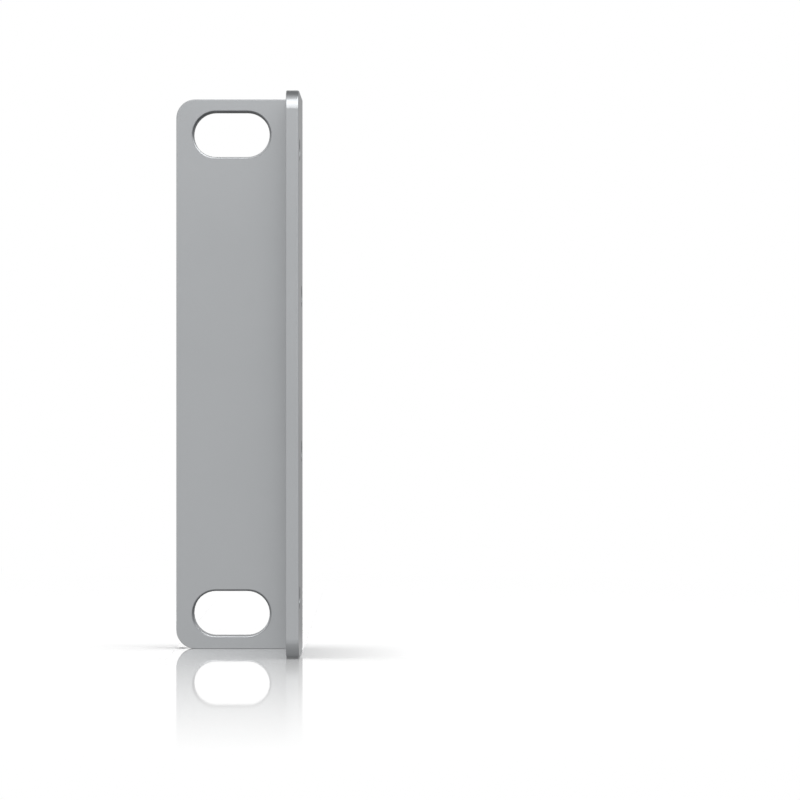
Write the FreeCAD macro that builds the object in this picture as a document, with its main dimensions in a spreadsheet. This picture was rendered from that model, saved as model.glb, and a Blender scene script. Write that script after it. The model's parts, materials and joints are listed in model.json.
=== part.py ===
import FreeCAD, Part
import Sketcher
import math
import os

# Rack mount ear bracket for a device two rack units high, one piece of sheet metal:
# blanked, pierced with two rack slots, drilled and countersunk, then folded once.
# Millimetres. The origin lies on the ear's rail face, midway between the two slots.
# +X points to the device, +Y to the front of the rack and +Z up, so the ear spreads
# towards -X and the side leg runs back towards -Y.

SIZES = {
    # The rack: its unit of height, and the gap that the bracket leaves at each end
    "rack_units": 2,
    "rack_unit_height": 44.45,
    "end_gap": 0.75,
    # The folded sheet
    "sheet_thickness": 2.0,
    "leg_depth": 20.0,
    "bend_inner_radius": 0.5,
    # The free corners, seen square on
    "ear_corner_radius": 3.0,
    "leg_corner_radius": 3.0,
    # The two rack slots, long way level, and how far their centres lie from the rack units'
    # ends, from the device's side and from the ear's free end
    "slot_length": 12.1,
    "slot_width": 7.1,
    "slot_to_unit_end": 6.35,
    "slot_to_device_side": 11.3,
    "slot_to_ear_end": 8.8,
    # The leg's countersunk screw holes: an outer pair, placed from the bracket's ends and from
    # the leg's free edge, and an inner pair near the fold, placed from the ear's rail face
    "screw_hole_diameter": 3.4,
    "countersink_diameter": 6.4,
    "countersink_angle": 90.0,
    "outer_screw_to_bracket_end": 9.1,
    "outer_screw_to_leg_edge": 4.2,
    "inner_screw_spacing": 24.4,
    "inner_screw_to_rail_face": 4.6,
    # Edges: the press rolls one side of a cut over and leaves the other side crisp
    "slot_rim_radius": 0.33,
    "outline_roll_radius": 0.3,
    "crisp_edge_radius": 0.1,
}

NEAR = 1e-4

doc = FreeCAD.newDocument("RackEarBracket")
sheet = doc.addObject("Spreadsheet::Sheet", "Sizes")
for row, (alias, value) in enumerate(SIZES.items(), start=1):
    sheet.set(f"A{row}", alias.replace("_", " "))
    sheet.set(f"B{row}", str(value))
    sheet.setAlias(f"B{row}", alias)
doc.recompute()


def size(alias):
    """The value of one cell of the sheet."""
    return float(sheet.get(alias))


# Distances up from the middle of the bracket: half the rack space, the bracket's end, the
# slots' centres and the outer screws. Each is worked out here and, for the features, as cells.
half_space = size("rack_units") * size("rack_unit_height") / 2
bracket_end = half_space - size("end_gap")
slot_height = half_space - size("slot_to_unit_end")
outer_screw_height = bracket_end - size("outer_screw_to_bracket_end")

HALF_SPACE_CELLS = "Sizes.rack_units * Sizes.rack_unit_height / 2"
BRACKET_END_CELLS = f"({HALF_SPACE_CELLS} - Sizes.end_gap)"
SLOT_HEIGHT_CELLS = f"({HALF_SPACE_CELLS} - Sizes.slot_to_unit_end)"
OUTER_SCREW_HEIGHT_CELLS = f"({BRACKET_END_CELLS} - Sizes.outer_screw_to_bracket_end)"


def origin_item(body, role):
    """The body's own origin plane or axis with this role."""
    return next(item for item in body.Origin.OriginFeatures if item.Role == role)


def new_sketch(body, name, plane):
    """An empty sketch on one of the body's origin planes."""
    sketch = body.newObject("Sketcher::SketchObject", name)
    sketch.AttachmentSupport = [(origin_item(body, plane), "")]
    sketch.MapMode = "FlatFace"
    return sketch


def point(x, y):
    return FreeCAD.Vector(x, y, 0)


def arc(centre, radius, start_deg, end_deg):
    """An arc that runs anticlockwise about its centre."""
    circle = Part.Circle(centre, FreeCAD.Vector(0, 0, 1), radius)
    return Part.ArcOfCircle(circle, math.radians(start_deg), math.radians(end_deg))


def constrain(sketch, *constraint):
    sketch.addConstraint(Sketcher.Constraint(*constraint))


def dimension(sketch, name, expression, *constraint):
    """A named dimension of the sketch, tied to the sheet by an expression."""
    index = sketch.addConstraint(Sketcher.Constraint(*constraint))
    sketch.renameConstraint(index, name)
    sketch.setExpression(f"Constraints.{name}", expression)


def draw_fold_profile(body):
    """The L-shaped section of the folded sheet, seen from above: ear, bend and leg."""
    sketch = new_sketch(body, "FoldProfile", "XY_Plane")
    thickness = size("sheet_thickness")
    inner = size("bend_inner_radius")
    device_x = size("slot_to_device_side")
    ear_end_x = -size("slot_to_ear_end")
    leg_end_y = thickness - size("leg_depth")
    leg_x = device_x - thickness
    bend = point(leg_x - inner, -inner)
    runs = {
        "ear_rail": (point(ear_end_x, 0), point(bend.x, 0)),
        "leg_inner": (point(leg_x, bend.y), point(leg_x, leg_end_y)),
        "leg_end": (point(leg_x, leg_end_y), point(device_x, leg_end_y)),
        "leg_device": (point(device_x, leg_end_y), point(device_x, bend.y)),
        "ear_front": (point(bend.x, thickness), point(ear_end_x, thickness)),
        "ear_end": (point(ear_end_x, thickness), point(ear_end_x, 0)),
    }
    line = {name: sketch.addGeometry(Part.LineSegment(*ends), False) for name, ends in runs.items()}
    bend_in = sketch.addGeometry(arc(bend, inner, 0, 90), False)
    bend_out = sketch.addGeometry(arc(bend, inner + thickness, 0, 90), False)

    constrain(sketch, "Tangent", line["ear_rail"], 2, bend_in, 2)
    constrain(sketch, "Tangent", bend_in, 1, line["leg_inner"], 1)
    constrain(sketch, "Coincident", line["leg_inner"], 2, line["leg_end"], 1)
    constrain(sketch, "Coincident", line["leg_end"], 2, line["leg_device"], 1)
    constrain(sketch, "Tangent", line["leg_device"], 2, bend_out, 1)
    constrain(sketch, "Tangent", bend_out, 2, line["ear_front"], 1)
    constrain(sketch, "Coincident", line["ear_front"], 2, line["ear_end"], 1)
    constrain(sketch, "Coincident", line["ear_end"], 2, line["ear_rail"], 1)
    for name in ("ear_rail", "ear_front", "leg_end"):
        constrain(sketch, "Horizontal", line[name])
    for name in ("leg_inner", "leg_device", "ear_end"):
        constrain(sketch, "Vertical", line[name])
    constrain(sketch, "Coincident", bend_in, 3, bend_out, 3)
    constrain(sketch, "PointOnObject", line["ear_rail"], 1, -1)

    dimension(sketch, "device_side", "Sizes.slot_to_device_side",
              "DistanceX", -1, 1, line["leg_device"], 1, device_x)
    dimension(sketch, "ear_end", "Sizes.slot_to_ear_end",
              "DistanceX", line["ear_rail"], 1, -1, 1, size("slot_to_ear_end"))
    dimension(sketch, "thickness", "Sizes.sheet_thickness",
              "DistanceY", line["ear_end"], 2, line["ear_end"], 1, thickness)
    dimension(sketch, "leg_depth", "Sizes.leg_depth",
              "DistanceY", line["leg_device"], 1, line["ear_front"], 1, size("leg_depth"))
    dimension(sketch, "bend_inner_radius", "Sizes.bend_inner_radius", "Radius", bend_in, inner)
    return sketch


def draw_slot(body):
    """The upper rack slot: two level sides joined by half rounds."""
    sketch = new_sketch(body, "SlotProfile", "XZ_Plane")
    radius = size("slot_width") / 2
    half_run = (size("slot_length") - size("slot_width")) / 2
    top_side = Part.LineSegment(point(half_run, slot_height + radius),
                                point(-half_run, slot_height + radius))
    bottom_side = Part.LineSegment(point(-half_run, slot_height - radius),
                                   point(half_run, slot_height - radius))
    top = sketch.addGeometry(top_side, False)
    left = sketch.addGeometry(arc(point(-half_run, slot_height), radius, 90, 270), False)
    bottom = sketch.addGeometry(bottom_side, False)
    right = sketch.addGeometry(arc(point(half_run, slot_height), radius, 270, 450), False)

    constrain(sketch, "Tangent", top, 2, left, 1)
    constrain(sketch, "Tangent", left, 2, bottom, 1)
    constrain(sketch, "Tangent", bottom, 2, right, 1)
    constrain(sketch, "Tangent", right, 2, top, 1)
    constrain(sketch, "Equal", left, right)
    constrain(sketch, "Horizontal", top)

    half_run_cells = "(Sizes.slot_length - Sizes.slot_width) / 2"
    dimension(sketch, "end_radius", "Sizes.slot_width / 2", "Radius", left, radius)
    dimension(sketch, "left_run", half_run_cells, "DistanceX", left, 3, -1, 1, half_run)
    dimension(sketch, "right_run", half_run_cells, "DistanceX", -1, 1, right, 3, half_run)
    dimension(sketch, "height", SLOT_HEIGHT_CELLS, "DistanceY", -1, 1, right, 3, slot_height)
    return sketch


def draw_lower_screw_holes(body):
    """The lower two screw holes, on the leg's face away from the device."""
    sketch = new_sketch(body, "ScrewHoleProfile", "YZ_Plane")
    leg_x = size("slot_to_device_side") - size("sheet_thickness")
    sketch.AttachmentOffset = FreeCAD.Placement(FreeCAD.Vector(0, 0, leg_x), FreeCAD.Rotation())
    sketch.setExpression("AttachmentOffset.Base.z", "Sizes.slot_to_device_side - Sizes.sheet_thickness")
    diameter = size("screw_hole_diameter")
    outer_reach = size("leg_depth") - size("sheet_thickness") - size("outer_screw_to_leg_edge")
    inner_reach = size("inner_screw_to_rail_face")
    inner_height = size("inner_screw_spacing") / 2
    along = FreeCAD.Vector(0, 0, 1)
    outer_circle = Part.Circle(point(-outer_reach, -outer_screw_height), along, diameter / 2)
    inner_circle = Part.Circle(point(-inner_reach, -inner_height), along, diameter / 2)
    outer = sketch.addGeometry(outer_circle, False)
    inner = sketch.addGeometry(inner_circle, False)

    constrain(sketch, "Equal", outer, inner)
    dimension(sketch, "diameter", "Sizes.screw_hole_diameter", "Diameter", outer, diameter)
    dimension(sketch, "outer_reach",
              "Sizes.leg_depth - Sizes.sheet_thickness - Sizes.outer_screw_to_leg_edge",
              "DistanceX", outer, 3, -1, 1, outer_reach)
    dimension(sketch, "outer_height", OUTER_SCREW_HEIGHT_CELLS,
              "DistanceY", outer, 3, -1, 1, outer_screw_height)
    dimension(sketch, "inner_reach", "Sizes.inner_screw_to_rail_face",
              "DistanceX", inner, 3, -1, 1, inner_reach)
    dimension(sketch, "inner_height", "Sizes.inner_screw_spacing / 2",
              "DistanceY", inner, 3, -1, 1, inner_height)
    return sketch


def check_removed(before, after):
    """A cut that points away from the metal removes nothing, so the volumes are compared."""
    doc.recompute()
    if not after.Shape.Volume < before.Shape.Volume - NEAR:
        raise RuntimeError(f"{after.Label} removes nothing")


def edge_names(shape, wanted):
    """The names, in the whole shape, of the edges that are in a list."""
    return [f"Edge{number}" for number, edge in enumerate(shape.Edges, start=1)
            if any(edge.isSame(other) for other in wanted)]


def flat_faces(shape, axis, place):
    """The flat faces that lie across an axis (0, 1 or 2 for X, Y or Z) at this place along it."""
    found = []
    for face in shape.Faces:
        if not isinstance(face.Surface, Part.Plane) or abs(abs(face.Surface.Axis[axis]) - 1) > NEAR:
            continue
        if abs(face.CenterOfMass[axis] - place) < NEAR:
            found.append(face)
    return found


def bend_faces(shape, radius):
    """The round face of the bend with this radius: an upright cylinder about the bend's axis."""
    x = size("slot_to_device_side") - size("sheet_thickness") - size("bend_inner_radius")
    y = -size("bend_inner_radius")
    found = []
    for face in shape.Faces:
        surface = face.Surface
        if not isinstance(surface, Part.Cylinder) or abs(surface.Radius - radius) > NEAR:
            continue
        off_axis = math.hypot(surface.Center.x - x, surface.Center.y - y)
        if abs(abs(surface.Axis.z) - 1) < NEAR and off_axis < NEAR:
            found.append(face)
    return found


def rail_skin(shape):
    """The faces that were the sheet's pierced side: rail face, inside of the bend, leg's inner face."""
    leg_x = size("slot_to_device_side") - size("sheet_thickness")
    bend = bend_faces(shape, size("bend_inner_radius"))
    return flat_faces(shape, 1, 0) + bend + flat_faces(shape, 0, leg_x)


def front_skin(shape):
    """The faces that were the sheet's other side: ear's front, outside of the bend, device side."""
    bend = bend_faces(shape, size("bend_inner_radius") + size("sheet_thickness"))
    ear_front = flat_faces(shape, 1, size("sheet_thickness"))
    return ear_front + bend + flat_faces(shape, 0, size("slot_to_device_side"))


def outline_edges(skin):
    """The rim of one side of the sheet: outer edges that no two of its faces share."""
    edges = [edge for face in skin for edge in face.OuterWire.Edges]
    return [edge for edge in edges if sum(edge.isSame(other) for other in edges) == 1]


def slot_rims(shape):
    """The rims of the rack slots on the rail face."""
    rail_face = flat_faces(shape, 1, 0)[0]
    outline = rail_face.OuterWire
    return [edge for wire in rail_face.Wires if not wire.isSame(outline) for edge in wire.Edges]


def corner_edges(shape, axis, place, along):
    """The short straight edges along one axis, at a place on another, at the top and bottom ends."""
    found = []
    for edge in shape.Edges:
        middle = edge.CenterOfMass
        at_end = abs(abs(middle.z) - bracket_end) < NEAR and abs(middle[axis] - place) < NEAR
        if at_end and isinstance(edge.Curve, Part.Line) and abs(abs(edge.tangentAt(0)[along]) - 1) < NEAR:
            found.append(edge)
    return found


def round_edges(body, name, base, edges, radius_cell):
    """A fillet on a list of the base feature's edges, its radius tied to the sheet."""
    fillet = body.newObject("PartDesign::Fillet", name)
    fillet.Base = (base, edge_names(base.Shape, edges))
    fillet.Radius = size(radius_cell)
    fillet.setExpression("Radius", f"Sizes.{radius_cell}")
    doc.recompute()
    return fillet


def make_ear_bracket():
    """The whole bracket, in the order of the shop: profile, slots, corners, screw holes, edges."""
    body = doc.addObject("PartDesign::Body", "EarBracket")
    body.Label = "ear_bracket"

    fold = body.newObject("PartDesign::Pad", "FoldedSheet")
    fold.Profile = draw_fold_profile(body)
    fold.SideType = "Symmetric"
    fold.setExpression("Length", f"2 * {BRACKET_END_CELLS}")
    doc.recompute()

    upper_slot = body.newObject("PartDesign::Pocket", "UpperSlot")
    upper_slot.Profile = draw_slot(body)
    upper_slot.SideType = "Symmetric"
    upper_slot.Type = "ThroughAll"
    check_removed(fold, upper_slot)

    slots = body.newObject("PartDesign::Mirrored", "BothSlots")
    slots.Originals = [upper_slot]
    slots.MirrorPlane = (origin_item(body, "XY_Plane"), [""])
    body.Tip = slots
    check_removed(upper_slot, slots)

    at_ear_end = corner_edges(slots.Shape, 0, -size("slot_to_ear_end"), 1)
    ear_corners = round_edges(body, "EarCorners", slots, at_ear_end, "ear_corner_radius")
    leg_end_y = size("sheet_thickness") - size("leg_depth")
    at_leg_end = corner_edges(ear_corners.Shape, 1, leg_end_y, 0)
    leg_corners = round_edges(body, "LegCorners", ear_corners, at_leg_end, "leg_corner_radius")

    lower_holes = body.newObject("PartDesign::Hole", "LowerScrewHoles")
    lower_holes.Profile = draw_lower_screw_holes(body)
    doc.recompute()
    lower_holes.ThreadType = "None"
    lower_holes.DepthType = "ThroughAll"
    lower_holes.HoleCutType = "Countersink"
    lower_holes.HoleCutCustomValues = True
    lower_holes.Reversed = True
    lower_holes.setExpression("Diameter", "Sizes.screw_hole_diameter")
    lower_holes.setExpression("HoleCutDiameter", "Sizes.countersink_diameter")
    lower_holes.setExpression("HoleCutCountersinkAngle", "Sizes.countersink_angle")
    check_removed(leg_corners, lower_holes)

    screw_holes = body.newObject("PartDesign::Mirrored", "ScrewHoles")
    screw_holes.Originals = [lower_holes]
    screw_holes.MirrorPlane = (origin_item(body, "XY_Plane"), [""])
    body.Tip = screw_holes
    check_removed(lower_holes, screw_holes)

    rims = round_edges(body, "SlotRims", screw_holes, slot_rims(screw_holes.Shape), "slot_rim_radius")
    front_outline = outline_edges(front_skin(rims.Shape))
    rolled = round_edges(body, "RolledOutline", rims, front_outline, "outline_roll_radius")
    rail_outline = outline_edges(rail_skin(rolled.Shape))
    round_edges(body, "CrispOutline", rolled, rail_outline, "crisp_edge_radius")
    return body


def check_document():
    """Stops on any feature that failed, because recomputing doesn't raise by itself."""
    doc.recompute()
    for item in doc.Objects:
        if "Invalid" in item.State or "Error" in item.State:
            raise RuntimeError(f"{item.Label} failed: {item.State}")
        if item.isDerivedFrom("Sketcher::SketchObject") and not item.FullyConstrained:
            raise RuntimeError(f"{item.Label} isn't fully constrained")


def write_step(body):
    """Writes one piece to its own file, named after it."""
    if body.Shape.isNull() or not body.Shape.isValid() or len(body.Shape.Solids) != 1:
        raise RuntimeError(f"{body.Label} isn't one valid solid")
    body.Shape.exportStep(f"parts/{body.Label}.step")
    box = body.Shape.optimalBoundingBox(False)
    print(f"{body.Label}: {box.XLength:.3f} x {box.YLength:.3f} x {box.ZLength:.3f} mm, "
          f"{body.Shape.Volume:.2f} mm3, {len(body.Shape.Faces)} faces")


ear_bracket = make_ear_bracket()
check_document()
os.makedirs("parts", exist_ok=True)
write_step(ear_bracket)
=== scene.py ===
"""The rack ear, bead-blasted and anodised, standing on its end on a glossy white floor."""

import json
import math

import bpy
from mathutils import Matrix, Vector


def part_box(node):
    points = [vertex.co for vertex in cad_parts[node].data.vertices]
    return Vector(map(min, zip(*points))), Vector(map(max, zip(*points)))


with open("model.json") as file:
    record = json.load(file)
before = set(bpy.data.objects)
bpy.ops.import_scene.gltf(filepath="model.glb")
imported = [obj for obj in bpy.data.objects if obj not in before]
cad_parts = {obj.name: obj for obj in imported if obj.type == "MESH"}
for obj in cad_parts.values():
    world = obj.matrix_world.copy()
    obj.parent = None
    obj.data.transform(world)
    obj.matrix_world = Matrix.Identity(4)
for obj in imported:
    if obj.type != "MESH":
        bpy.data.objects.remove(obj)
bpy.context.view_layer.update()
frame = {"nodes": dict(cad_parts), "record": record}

MM = 0.001
WHITE = (1.0, 1.0, 1.0, 1.0)

# The picture's frame and what is measured in it, in its pixels
PICTURE_SIDE = 800
HORIZON_ROW = 374.0
MIDDLE_COLUMN = 400.65
PIXELS_PER_MM = 6.284

# The camera looks level along +Y, at the bracket's own mid height
CAMERA_TO_EAR = 480 * MM
CAMERA_PAST_DEVICE_SIDE = 15.6 * MM
SENSOR_WIDTH = 36.0
NEAREST_SEEN = 0.01
FARTHEST_SEEN = 20.0
LEVEL = math.radians(90)

mounts = {mount["name"]: mount for mount in frame["record"]["mounts"]}
ear_bracket = frame["nodes"]["ear_bracket"]
lowest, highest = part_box("ear_bracket")
FOOT = Vector((0.0, 0.0, lowest.z))
MIDDLE_ACROSS = (lowest.x + highest.x) / 2
HALF_WIDTH = (highest.x - lowest.x) / 2


def linear(hex_colour):
    """An sRGB colour such as #AABBCC as the linear RGBA that Blender's sockets take."""
    shares = [int(hex_colour[i:i + 2], 16) / 255 for i in (1, 3, 5)]
    curve = [s / 12.92 if s <= 0.04045 else ((s + 0.055) / 1.055) ** 2.4 for s in shares]
    return (*curve, 1.0)


def add_node(tree, kind, *values, sockets=None, **settings):
    """Adds a shader node with its settings, and fills its inputs.

    The values go to the inputs in their order, and those in sockets by the input's name or
    number. A value is a number, a colour, another node's output, or that node itself, which
    stands for its first output.
    """
    node = tree.nodes.new("ShaderNode" + kind)
    for name, setting in settings.items():
        setattr(node, name, setting)
    for key, value in [*enumerate(values), *(sockets or {}).items()]:
        if isinstance(value, bpy.types.Node):
            value = value.outputs[0]
        if isinstance(value, bpy.types.NodeSocket):
            tree.links.new(value, node.inputs[key])
        else:
            node.inputs[key].default_value = value
    return node


def new_material(name):
    """An empty node material and its tree."""
    material = bpy.data.materials.new(name)
    material.use_nodes = True
    material.node_tree.nodes.clear()
    return material, material.node_tree


def object_place(tree):
    """A point's place on the object, whole and as its x, y and z."""
    place = add_node(tree, "TexCoord").outputs["Object"]
    return place, *add_node(tree, "SeparateXYZ", place).outputs


def off_centre(tree, along, across, centre_along, centre_across):
    """How far a point lies, in one plane, from the nearer of two mirrored centres."""
    first = add_node(tree, "Math", along, centre_along, operation="SUBTRACT")
    to_side = add_node(tree, "Math", across, operation="ABSOLUTE")
    second = add_node(tree, "Math", to_side, centre_across, operation="SUBTRACT")
    apart = add_node(tree, "CombineXYZ", first, second)
    return add_node(tree, "VectorMath", apart, operation="LENGTH").outputs["Value"]


# The greys of the metal: the two that the anodising drifts between, the darker one where the
# punch has torn the slots' edges, which is partly painted shade, the painted highlight on the
# slots' lower walls, the lighter one where the drill has turned the countersinks, and the one
# that all of it has at a flat angle
METAL_GREY = linear("#A1A3A5")
METAL_GREY_LIGHT = linear("#A5A7A9")
# The slots' torn edges: a darker grey that is partly painted shade on their rims
TORN_AND_SHADE_GREY = linear("#7C7E80")
# A painted highlight on the slots' lower walls, which face up to the light
PAINTED_HIGHLIGHT_GREY = linear("#C8CACC")
TURNED_GREY = linear("#B4B6B8")
FLAT_ANGLE_GREY = linear("#B2B2B2")
METAL_ROUGHNESS = 0.295
ROUGHNESS_DRIFT = 0.01
TORN_ROUGHNESS = 0.42
TURNED_ROUGHNESS = 0.22

# Sizes of the patterns. The beads leave dimples of about 0.1 mm, which are too fine to show, so
# they are drawn almost three times as wide. The same goes for the cutter's rings.
TONE_SIZE = 14 * MM
MOTTLE_SIZE = 2.5 * MM
DIMPLE_SIZE = 0.28 * MM
DIMPLE_DEPTH = 0.002 * MM
DIMPLE_SMOOTHNESS = 0.6
SHEAR_STREAK_WIDTH = 0.2 * MM
SHEAR_STREAK_LENGTH = 3 * MM
SHEAR_STREAK_DEPTH = 0.009 * MM
RING_PITCH = 0.2 * MM
RING_DEPTH = 0.003 * MM

# A noise pattern mostly stays within this reach of its middle
NOISE_MIDDLE = 0.5
NOISE_REACH = 0.25

# The slots, which the press has cut. A slot's edge is rolled in on the rail face over its rim.
SLOT_DIMS = mounts["rack_slots"]["dims"]
SLOT_RADIUS = SLOT_DIMS["hole_r_mm"] * MM
SLOT_HALF_RUN = SLOT_DIMS["slot_length_mm"] / 2 * MM - SLOT_RADIUS
SLOT_HEIGHT = SLOT_DIMS["spacing_y_mm"] / 2 * MM
SLOT_RIM = 0.33 * MM
TORN_START = SLOT_RADIUS + 0.7 * SLOT_RIM
TORN_END = SLOT_RADIUS + 1.15 * SLOT_RIM
# Where the painted highlight lies across a slot's rim
PAINTED_HIGHLIGHT_START = SLOT_RADIUS + 0.3 * SLOT_RIM
PAINTED_HIGHLIGHT_END = SLOT_RADIUS + 0.9 * SLOT_RIM

# The painted highlight covers a slot's wall up to the first height, counted from the slot's
# middle, and ends at the second
PAINTED_HIGHLIGHT_HEIGHT = -0.75 * SLOT_RADIUS
PAINTED_HIGHLIGHT_TOP = 0.2 * SLOT_RADIUS

# The screw holes, which are drilled. The turned finish goes a little past their edges, and
# starts just under the face that lies against the device.
SCREW_PAIRS = [mounts["outer_screw_holes"], mounts["inner_screw_holes"]]
COUNTERSINK_RADIUS = 3.2 * MM
COUNTERSINK_EDGE = 1.02 * COUNTERSINK_RADIUS
BORE_EDGE = 1.02 * SCREW_PAIRS[0]["dims"]["hole_r_mm"] * MM
TURNED_BELOW = SCREW_PAIRS[0]["pos_m"][0] - 0.1 * MM


def lower_side(tree, z):
    """1 on the lower side of each slot, and 0 on its upper side."""
    off_middle = add_node(tree, "Math", z, operation="ABSOLUTE")
    past_slot = add_node(tree, "Math", off_middle, SLOT_HEIGHT, operation="SUBTRACT")
    upwards = add_node(tree, "Math", z, operation="SIGN")
    over_slot = add_node(tree, "Math", past_slot, upwards, operation="MULTIPLY")
    return add_node(
        tree, "MapRange", over_slot, PAINTED_HIGHLIGHT_HEIGHT, PAINTED_HIGHLIGHT_TOP, 1.0, 0.0,
        interpolation_type="SMOOTHSTEP",
    )


def cut_shares(tree, x, z):
    """1 on the slots' walls and rims, and 1 on the part of the lower walls that carries a painted
    highlight.

    The lower walls face up to the light, and their lighter grey is a painted highlight.
    """
    off_middle = add_node(tree, "Math", x, operation="ABSOLUTE")
    past_run = add_node(tree, "Math", off_middle, SLOT_HALF_RUN, operation="SUBTRACT")
    beyond_run = add_node(tree, "Math", past_run, 0.0, operation="MAXIMUM")
    into_sheet = off_centre(tree, beyond_run, z, 0.0, SLOT_HEIGHT)
    cut = add_node(
        tree, "MapRange", into_sheet, TORN_START, TORN_END, 1.0, 0.0,
        interpolation_type="SMOOTHSTEP",
    )
    # The inner part of the rim, which on the lower side gets the painted highlight
    wall = add_node(
        tree, "MapRange", into_sheet, PAINTED_HIGHLIGHT_START, PAINTED_HIGHLIGHT_END, 1.0, 0.0,
        interpolation_type="SMOOTHSTEP",
    )
    painted_highlight = add_node(tree, "Math", wall, lower_side(tree, z), operation="MULTIPLY")
    return cut, painted_highlight


def off_screw(tree, y, z):
    """How far a point lies from the axis of the nearest screw hole."""
    distances = [
        off_centre(tree, y, z, pair["pos_m"][1], pair["dims"]["spacing_y_mm"] / 2 * MM)
        for pair in SCREW_PAIRS
    ]
    return add_node(tree, "Math", *distances, operation="MINIMUM")


def turned_share(tree, x, from_screw):
    """1 in the countersinks and the bores, which are cut after the blasting."""
    over_cone = add_node(
        tree, "MapRange", from_screw, COUNTERSINK_RADIUS, COUNTERSINK_EDGE, 1.0, 0.0,
        interpolation_type="SMOOTHSTEP",
    )
    below_face = add_node(tree, "Math", x, TURNED_BELOW, operation="LESS_THAN")
    in_cone = add_node(tree, "Math", over_cone, below_face, operation="MULTIPLY")
    in_bore = add_node(tree, "Math", from_screw, BORE_EDGE, operation="LESS_THAN")
    return add_node(tree, "Math", in_cone, in_bore, operation="MAXIMUM")


def metal_colour(tree, place, cut, painted_highlight, turned):
    """The sheet's slow drift of grey, then the slots' torn edges with their painted shade and
    painted highlight, and the countersinks.
    """
    tone = add_node(tree, "TexNoise", sockets={"Vector": place, "Scale": 1 / TONE_SIZE})
    sheet = add_node(
        tree, "Mix", sockets={0: tone, 6: METAL_GREY, 7: METAL_GREY_LIGHT}, data_type="RGBA",
    )
    # The slots' edges: the torn grey, partly painted shade, and the painted highlight on the lower
    # walls
    edge = add_node(
        tree, "Mix", sockets={0: painted_highlight, 6: TORN_AND_SHADE_GREY, 7: PAINTED_HIGHLIGHT_GREY}, data_type="RGBA",
    )
    pressed = add_node(
        tree, "Mix", sockets={0: cut, 6: sheet.outputs[2], 7: edge.outputs[2]}, data_type="RGBA",
    )
    drilled = add_node(
        tree, "Mix", sockets={0: turned, 6: pressed.outputs[2], 7: TURNED_GREY}, data_type="RGBA",
    )
    return drilled.outputs[2]


def metal_roughness(tree, place, cut, turned):
    """The sheet's sheen with its slight mottle, duller where torn and glossier where turned."""
    mottle = add_node(tree, "TexNoise", sockets={"Vector": place, "Scale": 1 / MOTTLE_SIZE})
    off_mean = add_node(tree, "Math", mottle, NOISE_MIDDLE, operation="SUBTRACT")
    drift = add_node(tree, "Math", off_mean, ROUGHNESS_DRIFT / NOISE_REACH, operation="MULTIPLY")
    pressed = add_node(
        tree, "MapRange", cut, 0.0, 1.0, METAL_ROUGHNESS, TORN_ROUGHNESS,
        interpolation_type="SMOOTHSTEP",
    )
    drilled = add_node(
        tree, "MapRange", turned, 0.0, 1.0, pressed, TURNED_ROUGHNESS,
        interpolation_type="SMOOTHSTEP",
    )
    return add_node(tree, "Math", drilled, drift, operation="ADD")


def metal_relief(tree, place, cut, turned, from_screw):
    """The beads' dimples all over, streaks along the cut in the slots, and the cutter's rings."""
    dimples = add_node(
        tree, "TexVoronoi",
        sockets={"Vector": place, "Scale": 1 / DIMPLE_SIZE, "Smoothness": DIMPLE_SMOOTHNESS},
        feature="SMOOTH_F1",
    )
    blasted = add_node(
        tree, "Bump", sockets={"Height": dimples, "Distance": DIMPLE_DEPTH, "Strength": 1.0},
    )
    streak_scale = (1 / SHEAR_STREAK_WIDTH, 1 / SHEAR_STREAK_LENGTH, 1 / SHEAR_STREAK_WIDTH)
    along_cut = add_node(tree, "Mapping", sockets={"Vector": place, "Scale": streak_scale})
    streaks = add_node(tree, "TexNoise", sockets={"Vector": along_cut, "Scale": 1.0})
    in_slot = add_node(tree, "Math", streaks, cut, operation="MULTIPLY")
    sheared = add_node(
        tree, "Bump",
        sockets={"Height": in_slot, "Distance": SHEAR_STREAK_DEPTH, "Strength": 1.0,
                 "Normal": blasted},
    )
    phase = add_node(tree, "Math", from_screw, 2 * math.pi / RING_PITCH, operation="MULTIPLY")
    wave = add_node(tree, "Math", phase, operation="SINE")
    rings = add_node(tree, "Math", wave, turned, operation="MULTIPLY")
    return add_node(
        tree, "Bump",
        sockets={"Height": rings, "Distance": RING_DEPTH / 2, "Strength": 1.0, "Normal": sheared},
    )


def blasted_anodised_aluminium():
    """Aluminium sheet, bead-blasted and clear anodised.

    It gives the eye an even cool grey with a soft sheen and no grain direction. The slots' edges,
    where the punch has torn the metal, are darker and duller, with faint streaks along the cut;
    their darker grey is partly painted shade, and the lower walls carry a painted highlight. The
    countersinks are brighter, with the cutter's rings.
    """
    material, tree = new_material("blasted_anodised_aluminium")
    place, x, y, z = object_place(tree)
    from_screw = off_screw(tree, y, z)
    cut, painted_highlight = cut_shares(tree, x, z)
    turned = turned_share(tree, x, from_screw)
    surface = add_node(
        tree, "BsdfPrincipled",
        sockets={"Base Color": metal_colour(tree, place, cut, painted_highlight, turned),
                 "Metallic": 1.0,
                 "Roughness": metal_roughness(tree, place, cut, turned),
                 "Specular Tint": FLAT_ANGLE_GREY,
                 "Normal": metal_relief(tree, place, cut, turned, from_screw)},
    )
    add_node(tree, "OutputMaterial", surface)
    return material


# The floor round the foot takes the shadow, with a boost that brings the rest of it up to white.
# From the lit radius to the faded one it turns into the plain white of the background.
FLOOR_SIDE = 6.0
FLOOR_COLOUR = linear("#D2D2D2")
FLOOR_BOOST = 0.145
LIT_RADIUS = 60 * MM
FADED_RADIUS = 200 * MM

# Its gloss, which is strongest at the foot and gone at the mirror's reach
ACRYLIC_IOR = 1.49
POLISH_ROUGHNESS = 0.03
MIRROR_REACH = 130 * MM
MIRROR_GAIN = 1.43

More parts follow.
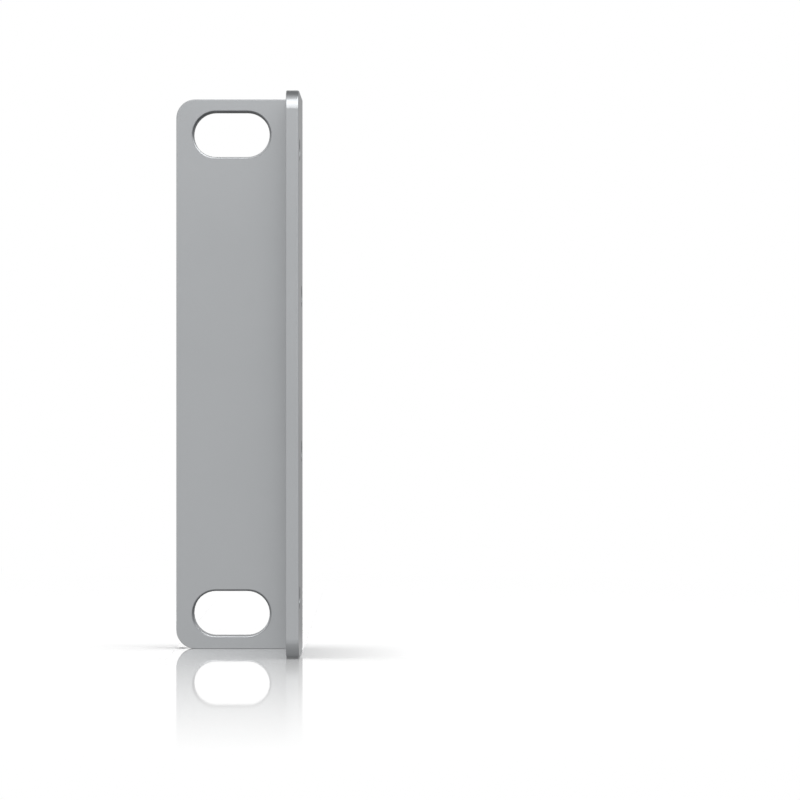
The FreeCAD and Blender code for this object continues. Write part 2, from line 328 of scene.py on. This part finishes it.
# Under the ear's round corner the shadow is so deep that it hides the gloss
CORNER_RADIUS = 3 * MM
CORNER_SHADOW = 1.5 * MM
CORNER_SHADOW_END = 4 * MM
CORNER_START = lowest.x + 0.3 * CORNER_RADIUS
CORNER_END = lowest.x + 0.8 * CORNER_RADIUS

# Beside the bracket the gloss gives way to the shadow: at once next to the leg, and more slowly
# in front of it, where the leg's reflection spreads
BESIDE_LEG_FADE = 0.3 * MM
BESIDE_LEG_GLOSS = 0.05
IN_FRONT_FADE = 6 * MM
IN_FRONT_GLOSS = 0.3
IN_FRONT_OF_LEG = lowest.y - 1 * MM
BESIDE_LEG = lowest.y + 4 * MM

# What the metal sees of it is a glow with painted shade: white at a flat angle, and half of
# that from 25 degrees on, and less of both behind the bracket, where the light doesn't reach. At
# this blend, Facing is 1 less the sine of the angle.
STEEP_SHARE = 0.55
FLAT_SHARE = 1.12
STEEP_ANGLE = math.radians(25)
FLAT_ANGLE = math.radians(8)
FACING_BLEND = 0.5
BEHIND_SHARE = 0.75
BEHIND_REACH = 40 * MM


def seen_directly(tree):
    """1 for the rays that show the white background, and 0 for the rays that only carry light."""
    path = add_node(tree, "LightPath").outputs
    shown = add_node(
        tree, "Math", path["Is Camera Ray"], path["Is Glossy Ray"], operation="MAXIMUM",
    )
    return add_node(tree, "Math", shown, path["Is Transmission Ray"], operation="MAXIMUM")


def floor_seen(tree, reach):
    """The floor's own white: paper with the shadow at the foot, and the background further out."""
    shown = seen_directly(tree)
    boost = add_node(tree, "Math", shown, FLOOR_BOOST, operation="MULTIPLY")
    paper = add_node(tree, "BsdfDiffuse", FLOOR_COLOUR)
    near = add_node(tree, "AddShader", paper, add_node(tree, "Emission", WHITE, boost))
    far = add_node(tree, "Emission", WHITE, shown)
    away = add_node(
        tree, "MapRange", reach, LIT_RADIUS, FADED_RADIUS, 0.0, 1.0,
        interpolation_type="SMOOTHSTEP",
    )
    return add_node(tree, "MixShader", away, near, far)


def floor_in_metal(tree, y):
    """The floor as the metal shows it: a glow whose painted shade goes by the angle at which it is
    seen and how far behind.
    """
    facing = add_node(tree, "LayerWeight", FACING_BLEND).outputs["Facing"]
    # Painted shade where the floor is seen steeply
    flatness = add_node(
        tree, "MapRange", facing, 1 - math.sin(STEEP_ANGLE), 1 - math.sin(FLAT_ANGLE),
        STEEP_SHARE, FLAT_SHARE, interpolation_type="SMOOTHSTEP",
    )
    # Painted shade behind the bracket
    painted_shade_behind = add_node(
        tree, "MapRange", y, 0.0, BEHIND_REACH, 1.0, BEHIND_SHARE,
        interpolation_type="SMOOTHSTEP",
    )
    level = add_node(tree, "Math", flatness, painted_shade_behind, operation="MULTIPLY")
    return add_node(tree, "Emission", WHITE, level)


def off_round_corner(tree, x, y):
    """0 on the floor under the ear's round corner, and 1 elsewhere."""
    off_foot = add_node(
        tree, "MapRange", add_node(tree, "Math", y, operation="ABSOLUTE"),
        CORNER_SHADOW, CORNER_SHADOW_END, 0.0, 1.0, interpolation_type="SMOOTHSTEP",
    )
    past_corner = add_node(
        tree, "MapRange", x, CORNER_START, CORNER_END, 0.0, 1.0,
        interpolation_type="SMOOTHSTEP",
    )
    return add_node(tree, "Math", off_foot, past_corner, operation="MAXIMUM")


def over_bracket_width(tree, x, y):
    """1 over the bracket's width, and less to its sides."""
    off_middle = add_node(tree, "Math", x, MIDDLE_ACROSS, operation="SUBTRACT")
    to_side = add_node(tree, "Math", off_middle, operation="ABSOLUTE")
    beside = add_node(
        tree, "MapRange", to_side, HALF_WIDTH, HALF_WIDTH + BESIDE_LEG_FADE,
        1.0, BESIDE_LEG_GLOSS, interpolation_type="SMOOTHSTEP",
    )
    in_front = add_node(
        tree, "MapRange", to_side, HALF_WIDTH, HALF_WIDTH + IN_FRONT_FADE,
        1.0, IN_FRONT_GLOSS, interpolation_type="SMOOTHSTEP",
    )
    ahead = add_node(
        tree, "MapRange", y, IN_FRONT_OF_LEG, BESIDE_LEG, 1.0, 0.0,
        interpolation_type="SMOOTHSTEP",
    )
    return add_node(tree, "Mix", sockets={0: ahead, 2: beside, 3: in_front})


def glossy_white_floor():
    """A white acrylic sheet: white all over, with the foot's shadow and a reflection that fades."""
    material, tree = new_material("glossy_white_floor")
    place, x, y, _ = object_place(tree)
    reach = add_node(tree, "VectorMath", place, operation="LENGTH").outputs["Value"]
    in_metal = add_node(tree, "LightPath").outputs["Is Glossy Ray"]
    body = add_node(
        tree, "MixShader", in_metal, floor_seen(tree, reach), floor_in_metal(tree, y),
    )
    gloss = add_node(tree, "BsdfGlossy", WHITE, POLISH_ROUGHNESS)
    nearness = add_node(tree, "MapRange", reach, 0.0, MIRROR_REACH, MIRROR_GAIN, 0.0)
    share = add_node(tree, "Fresnel", ACRYLIC_IOR)
    for part in (nearness, off_round_corner(tree, x, y), over_bracket_width(tree, x, y)):
        share = add_node(tree, "Math", share, part, operation="MULTIPLY")
    add_node(tree, "OutputMaterial", add_node(tree, "MixShader", share, body, gloss))
    return material


def flat_card(name, width, depth, material):
    """A level rectangle about its own origin, with one material."""
    x, y = width / 2, depth / 2
    mesh = bpy.data.meshes.new(name)
    mesh.from_pydata([(-x, -y, 0), (x, -y, 0), (x, y, 0), (-x, y, 0)], [], [(0, 1, 2, 3)])
    mesh.materials.append(material)
    card = bpy.data.objects.new(name, mesh)
    bpy.context.scene.collection.objects.link(card)
    return card


def lay_floor():
    """The floor, level with the bracket's lower end."""
    floor = flat_card("floor", FLOOR_SIDE, FLOOR_SIDE, glossy_white_floor())
    floor.location = FOOT


# Lamps and cards are placed by the direction in which the bracket sees them, in degrees: turn 0
# is towards the camera, positive turns go towards +X, and rise is the height over the horizon.
LIGHT_DISTANCE = 1.2


def seen_from_bracket(turn, rise):
    """The point that the bracket sees at that turn and rise."""
    a, b = math.radians(turn), math.radians(rise)
    way = Vector((math.sin(a) * math.cos(b), -math.cos(a) * math.cos(b), math.sin(b)))
    return way * LIGHT_DISTANCE


def facing_bracket(place):
    """The rotation that turns an object's -Z from that place towards the bracket."""
    return (-place).to_track_quat("-Z", "Y").to_euler()


def hang_softbox(name, turn, rise, width, height, brightness, lights_floor):
    """A rectangular softbox that faces the bracket, for the metal alone or for the floor alone.

    Its face is evenly bright, and a brightness of 1 is the white of the background.
    """
    lamp = bpy.data.lights.new(name, "AREA")
    lamp.shape = "RECTANGLE"
    lamp.size = width
    lamp.size_y = height
    lamp.energy = brightness * math.pi * width * height
    box = bpy.data.objects.new(name, lamp)
    box.location = seen_from_bracket(turn, rise)
    box.rotation_euler = facing_bracket(box.location)
    box.visible_camera = False
    box.visible_glossy = not lights_floor
    box.visible_diffuse = lights_floor
    bpy.context.scene.collection.objects.link(box)


# The dark card: how bright its core is, the card's half sides, and the core's
DARK_CARD_LEVEL = 0.45
DARK_CARD_ACROSS = 1.2
DARK_CARD_UP = 0.65
DARK_CORE_ACROSS = 0.48
DARK_CORE_UP = 0.325


def hang_dark_card():
    """A grey card over and behind the bracket, which darkens the upper ends of its round corners.

    It fades to the white of the studio all round, so that no edge of it shows in the floor.
    """
    material, tree = new_material("dark_card")
    _, x, y, _ = object_place(tree)
    at_sides = add_node(
        tree, "MapRange", add_node(tree, "Math", x, operation="ABSOLUTE"),
        DARK_CORE_ACROSS, DARK_CARD_ACROSS, DARK_CARD_LEVEL, 1.0, interpolation_type="SMOOTHSTEP",
    )
    at_ends = add_node(
        tree, "MapRange", add_node(tree, "Math", y, operation="ABSOLUTE"),
        DARK_CORE_UP, DARK_CARD_UP, DARK_CARD_LEVEL, 1.0, interpolation_type="SMOOTHSTEP",
    )
    level = add_node(tree, "Math", at_sides, at_ends, operation="MAXIMUM")
    add_node(tree, "OutputMaterial", add_node(tree, "Emission", WHITE, level))
    card = flat_card("dark_card", 2 * DARK_CARD_ACROSS, 2 * DARK_CARD_UP, material)
    card.location = seen_from_bracket(turn=180, rise=70)
    card.rotation_euler = facing_bracket(card.location)
    card.visible_camera = False
    card.visible_diffuse = False
    card.visible_shadow = False


AMBIENT_LEVEL = 0.22


def fill_world():
    """A white studio: strength 1 wherever it is seen, and a plain ambient light for the floor."""
    world = bpy.data.worlds.new("white_studio")
    world.use_nodes = True
    tree = world.node_tree
    tree.nodes.clear()
    level = add_node(tree, "MapRange", seen_directly(tree), 0.0, 1.0, AMBIENT_LEVEL, 1.0)
    add_node(tree, "OutputWorld", add_node(tree, "Background", WHITE, level))
    bpy.context.scene.world = world


def place_camera():
    """The photograph's camera, with its frame's middle shifted down from the horizon."""
    data = bpy.data.cameras.new("camera")
    data.sensor_width = SENSOR_WIDTH
    focal_pixels = PIXELS_PER_MM / MM * CAMERA_TO_EAR
    data.lens = SENSOR_WIDTH * focal_pixels / PICTURE_SIDE
    data.shift_x = (PICTURE_SIDE / 2 - MIDDLE_COLUMN) / PICTURE_SIDE
    data.shift_y = (HORIZON_ROW - PICTURE_SIDE / 2) / PICTURE_SIDE
    data.clip_start = NEAREST_SEEN
    data.clip_end = FARTHEST_SEEN
    camera = bpy.data.objects.new("camera", data)
    camera.location = (highest.x + CAMERA_PAST_DEVICE_SIDE, -CAMERA_TO_EAR, 0.0)
    camera.rotation_euler = (LEVEL, 0.0, 0.0)
    bpy.context.scene.collection.objects.link(camera)
    bpy.context.scene.camera = camera


def dress_bracket():
    """The one metal that the whole bracket is made of."""
    ear_bracket.data.materials.clear()
    ear_bracket.data.materials.append(blasted_anodised_aluminium())


dress_bracket()
lay_floor()
hang_softbox(
    "front_softbox", turn=30, rise=41.75, width=1.8, height=1.08, brightness=2.1,
    lights_floor=False,
)
hang_softbox(
    "overhead_strip", turn=0, rise=89, width=0.46, height=0.17, brightness=72.7,
    lights_floor=True,
)
hang_dark_card()
fill_world()
place_camera()
bpy.context.scene.view_settings.view_transform = "Standard"
